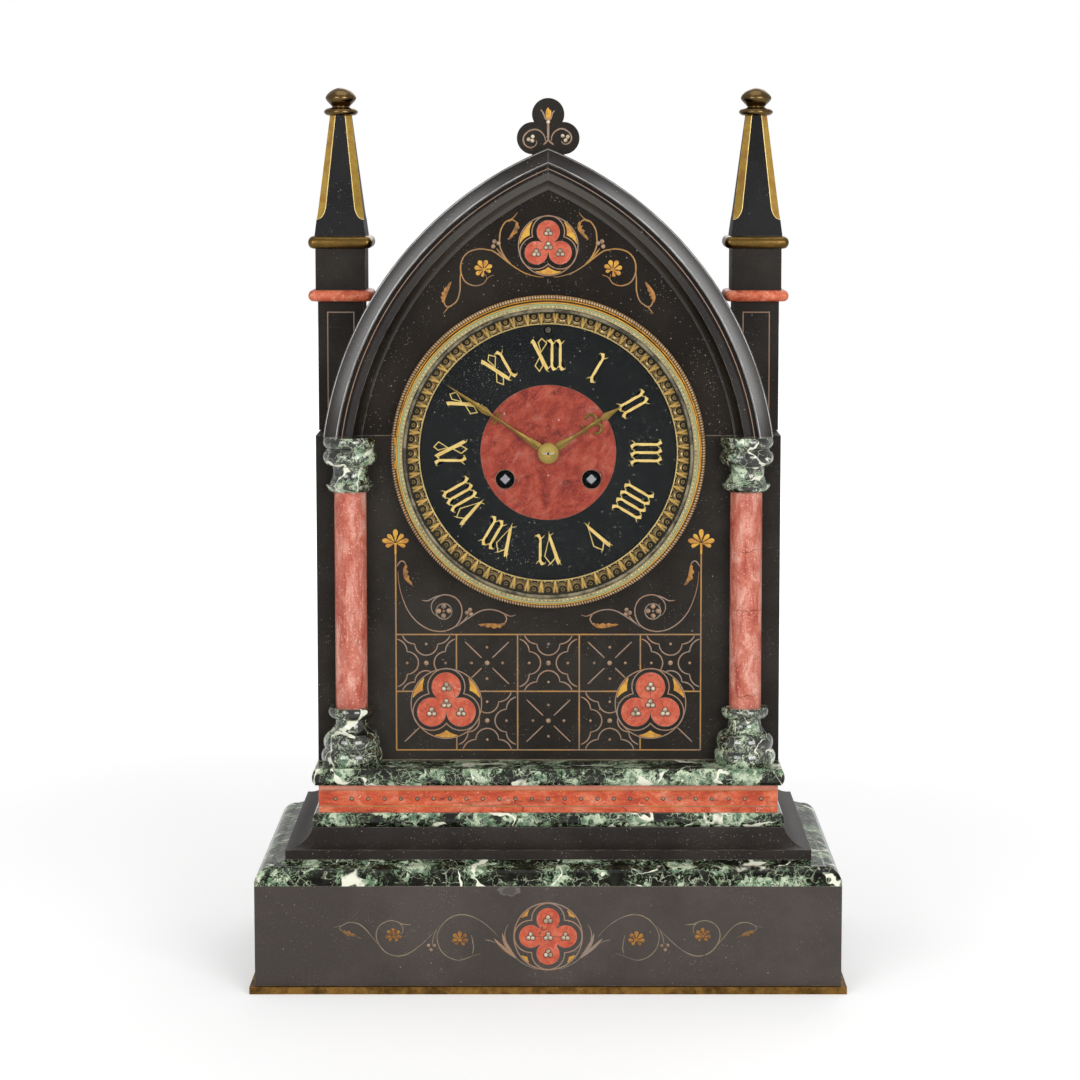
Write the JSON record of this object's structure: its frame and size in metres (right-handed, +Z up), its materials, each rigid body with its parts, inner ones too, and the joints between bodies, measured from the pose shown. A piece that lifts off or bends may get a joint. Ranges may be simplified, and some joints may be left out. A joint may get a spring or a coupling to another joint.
{
  "type": "gothic mantel clock",
  "caption": "Gothic slate and marble striking mantel clock with a hinged glazed bezel, turning hands, pendulum, wheel trains, bell and hammer, winding arbors and a hinged rear door.",
  "frame": {"origin": "middle of the foot strip's outline, on the surface that the clock stands on", "axes": "+X to the right of someone facing the dial, +Y from the dial to the back, +Z up"},
  "size_m": [0.3122, 0.1636, 0.4723],
  "materials": {
    "slate": "polished black slate",
    "rouge_marble": "polished rouge marble",
    "column_marble": "polished rouge marble, paler",
    "green_marble": "polished green marble with pale veins",
    "strip_brass": "aged, hatched",
    "collar_brass": "aged gilt",
    "bronze": "dark patina",
    "dial_slate": "matt black slate",
    "bezel_brass": "aged gilt",
    "hand_brass": "satin gilt",
    "glass": "clear, bevelled",
    "movement_brass": "satin",
    "steel": "satin",
    "bell_metal": "polished"
  },
  "bodies": {
    "case": {"base_block": "slate", "stepped_plinth": "slate", "front_panel": "slate", "tympanum_panel": "slate", "side_panels": "slate", "back_panel": "slate", "shoulder_slabs": "slate", "arch_roof": "slate", "arch_mouldings": "slate", "piers": "slate", "pinnacle_blocks": "slate", "obelisks": "slate", "crest": "slate", "rouge_frieze": "rouge_marble", "rouge_collars": "rouge_marble", "rouge_inlays": "rouge_marble", "dial_centre": "rouge_marble", "column_shafts": "column_marble", "base_moulding": "green_marble", "green_slabs": "green_marble", "capitals": "green_marble", "column_bases": "green_marble", "foot_strip": "strip_brass", "brass_collars": "collar_brass", "finials": "bronze", "dial_ring": "dial_slate", "bezel_seat": "bezel_brass", "rear_bezel": "bezel_brass", "dial_plate": "movement_brass", "movement_plates": "movement_brass", "plate_pillars": "movement_brass", "suspension_cock": "movement_brass", "bell_stand": "movement_brass", "movement_straps": "steel", "strap_screws": "steel", "clicks": "steel", "bell": "bell_metal"},
    "bezel_door": {"bezel": "bezel_brass", "sight_ring": "bezel_brass", "glass": "glass"},
    "minute_hand": {"minute_hand": "hand_brass", "cannon_pinion": "movement_brass", "hand_collet": "hand_brass"},
    "minute_wheel": {"minute_wheel": "movement_brass"},
    "hour_hand": {"hour_hand": "hand_brass", "hour_wheel": "movement_brass"},
    "pendulum": {"pendulum_rod": "steel", "pendulum_bob": "movement_brass"},
    "anchor": {"anchor": "steel"},
    "escape_wheel": {"escape_wheel": "movement_brass"},
    "third_wheel": {"third_wheel": "movement_brass"},
    "centre_wheel": {"centre_wheel": "movement_brass"},
    "going_barrel": {"going_barrel": "movement_brass"},
    "going_arbor": {"going_arbor": "steel"},
    "second_wheel": {"second_wheel": "movement_brass"},
    "strike_barrel": {"strike_barrel": "movement_brass"},
    "strike_arbor": {"strike_arbor": "steel"},
    "hammer": {"hammer": "steel"},
    "rear_door": {"rear_door": "bezel_brass"},
    "regulator": {"regulator_arbor": "steel"}
  },
  "joints": [
    {"name": "bezel_door_turn", "type": "hinge", "parent": "case", "child": "bezel_door", "pos_m": [-0.0808, -0.0314, 0.2792], "axis": [0, 0, -1], "range_deg": [0, 90]},
    {"name": "minute_hand_turn", "type": "hinge", "parent": "case", "child": "minute_hand", "pos_m": [0, -0.033, 0.2792], "axis": [0, 1, 0], "continuous": true},
    {"name": "minute_wheel_turn", "type": "hinge", "parent": "case", "child": "minute_wheel", "pos_m": [0, -0.0143, 0.2672], "axis": [0, 1, 0], "continuous": true},
    {"name": "hour_hand_turn", "type": "hinge", "parent": "case", "child": "hour_hand", "pos_m": [0, -0.0315, 0.2792], "axis": [0, 1, 0], "continuous": true},
    {"name": "pendulum_turn", "type": "hinge", "parent": "case", "child": "pendulum", "pos_m": [0, 0.04, 0.3207], "axis": [0, 1, 0], "range_deg": [-3, 3]},
    {"name": "anchor_turn", "type": "hinge", "parent": "case", "child": "anchor", "pos_m": [0, 0.03, 0.3207], "axis": [0, 1, 0], "range_deg": [-3, 3]},
    {"name": "escape_wheel_turn", "type": "hinge", "parent": "case", "child": "escape_wheel", "pos_m": [0, 0.02, 0.3082], "axis": [0, 1, 0], "continuous": true},
    {"name": "third_wheel_turn", "type": "hinge", "parent": "case", "child": "third_wheel", "pos_m": [0.008, 0.01, 0.2952], "axis": [0, 1, 0], "continuous": true},
    {"name": "centre_wheel_turn", "type": "hinge", "parent": "case", "child": "centre_wheel", "pos_m": [0, 0, 0.2792], "axis": [0, 1, 0], "continuous": true},
    {"name": "going_barrel_turn", "type": "hinge", "parent": "case", "child": "going_barrel", "pos_m": [0.0229, 0.01, 0.2649], "axis": [0, 1, 0], "continuous": true},
    {"name": "going_arbor_turn", "type": "hinge", "parent": "case", "child": "going_arbor", "pos_m": [0.0229, -0.02, 0.2649], "axis": [0, 1, 0], "range_deg": [0, 1980]},
    {"name": "second_wheel_turn", "type": "hinge", "parent": "case", "child": "second_wheel", "pos_m": [-0.01591, 0.02, 0.29098], "axis": [0, 1, 0], "continuous": true},
    {"name": "strike_barrel_turn", "type": "hinge", "parent": "case", "child": "strike_barrel", "pos_m": [-0.0229, 0.01, 0.2649], "axis": [0, 1, 0], "continuous": true},
    {"name": "strike_arbor_turn", "type": "hinge", "parent": "case", "child": "strike_arbor", "pos_m": [-0.0229, -0.02, 0.2649], "axis": [0, 1, 0], "range_deg": [0, 1980]},
    {"name": "hammer_turn", "type": "hinge", "parent": "case", "child": "hammer", "pos_m": [-0.038, 0.03, 0.2912], "axis": [0, 1, 0], "range_deg": [0, 15], "stiffness_Nm_per_rad": 0.008, "springref_deg": -20.05},
    {"name": "rear_door_turn", "type": "hinge", "parent": "case", "child": "rear_door", "pos_m": [0.069, 0.0771, 0.2792], "axis": [0, 0, -1], "range_deg": [0, 110]},
    {"name": "regulator_turn", "type": "hinge", "parent": "case", "child": "regulator", "pos_m": [0, 0.01, 0.3442], "axis": [0, 1, 0], "range_deg": [-720, 720]}
  ],
  "couplings": [
    {"joint": "minute_wheel_turn", "follows": "minute_hand_turn", "ratio": -0.33333},
    {"joint": "hour_hand_turn", "follows": "minute_hand_turn", "ratio": 0.083333},
    {"joint": "anchor_turn", "follows": "pendulum_turn", "ratio": 1},
    {"joint": "third_wheel_turn", "follows": "escape_wheel_turn", "ratio": -0.13333},
    {"joint": "centre_wheel_turn", "follows": "escape_wheel_turn", "ratio": 0.016667},
    {"joint": "going_barrel_turn", "follows": "escape_wheel_turn", "ratio": -0.002381},
    {"joint": "strike_barrel_turn", "follows": "second_wheel_turn", "ratio": -0.14286}
  ]
}
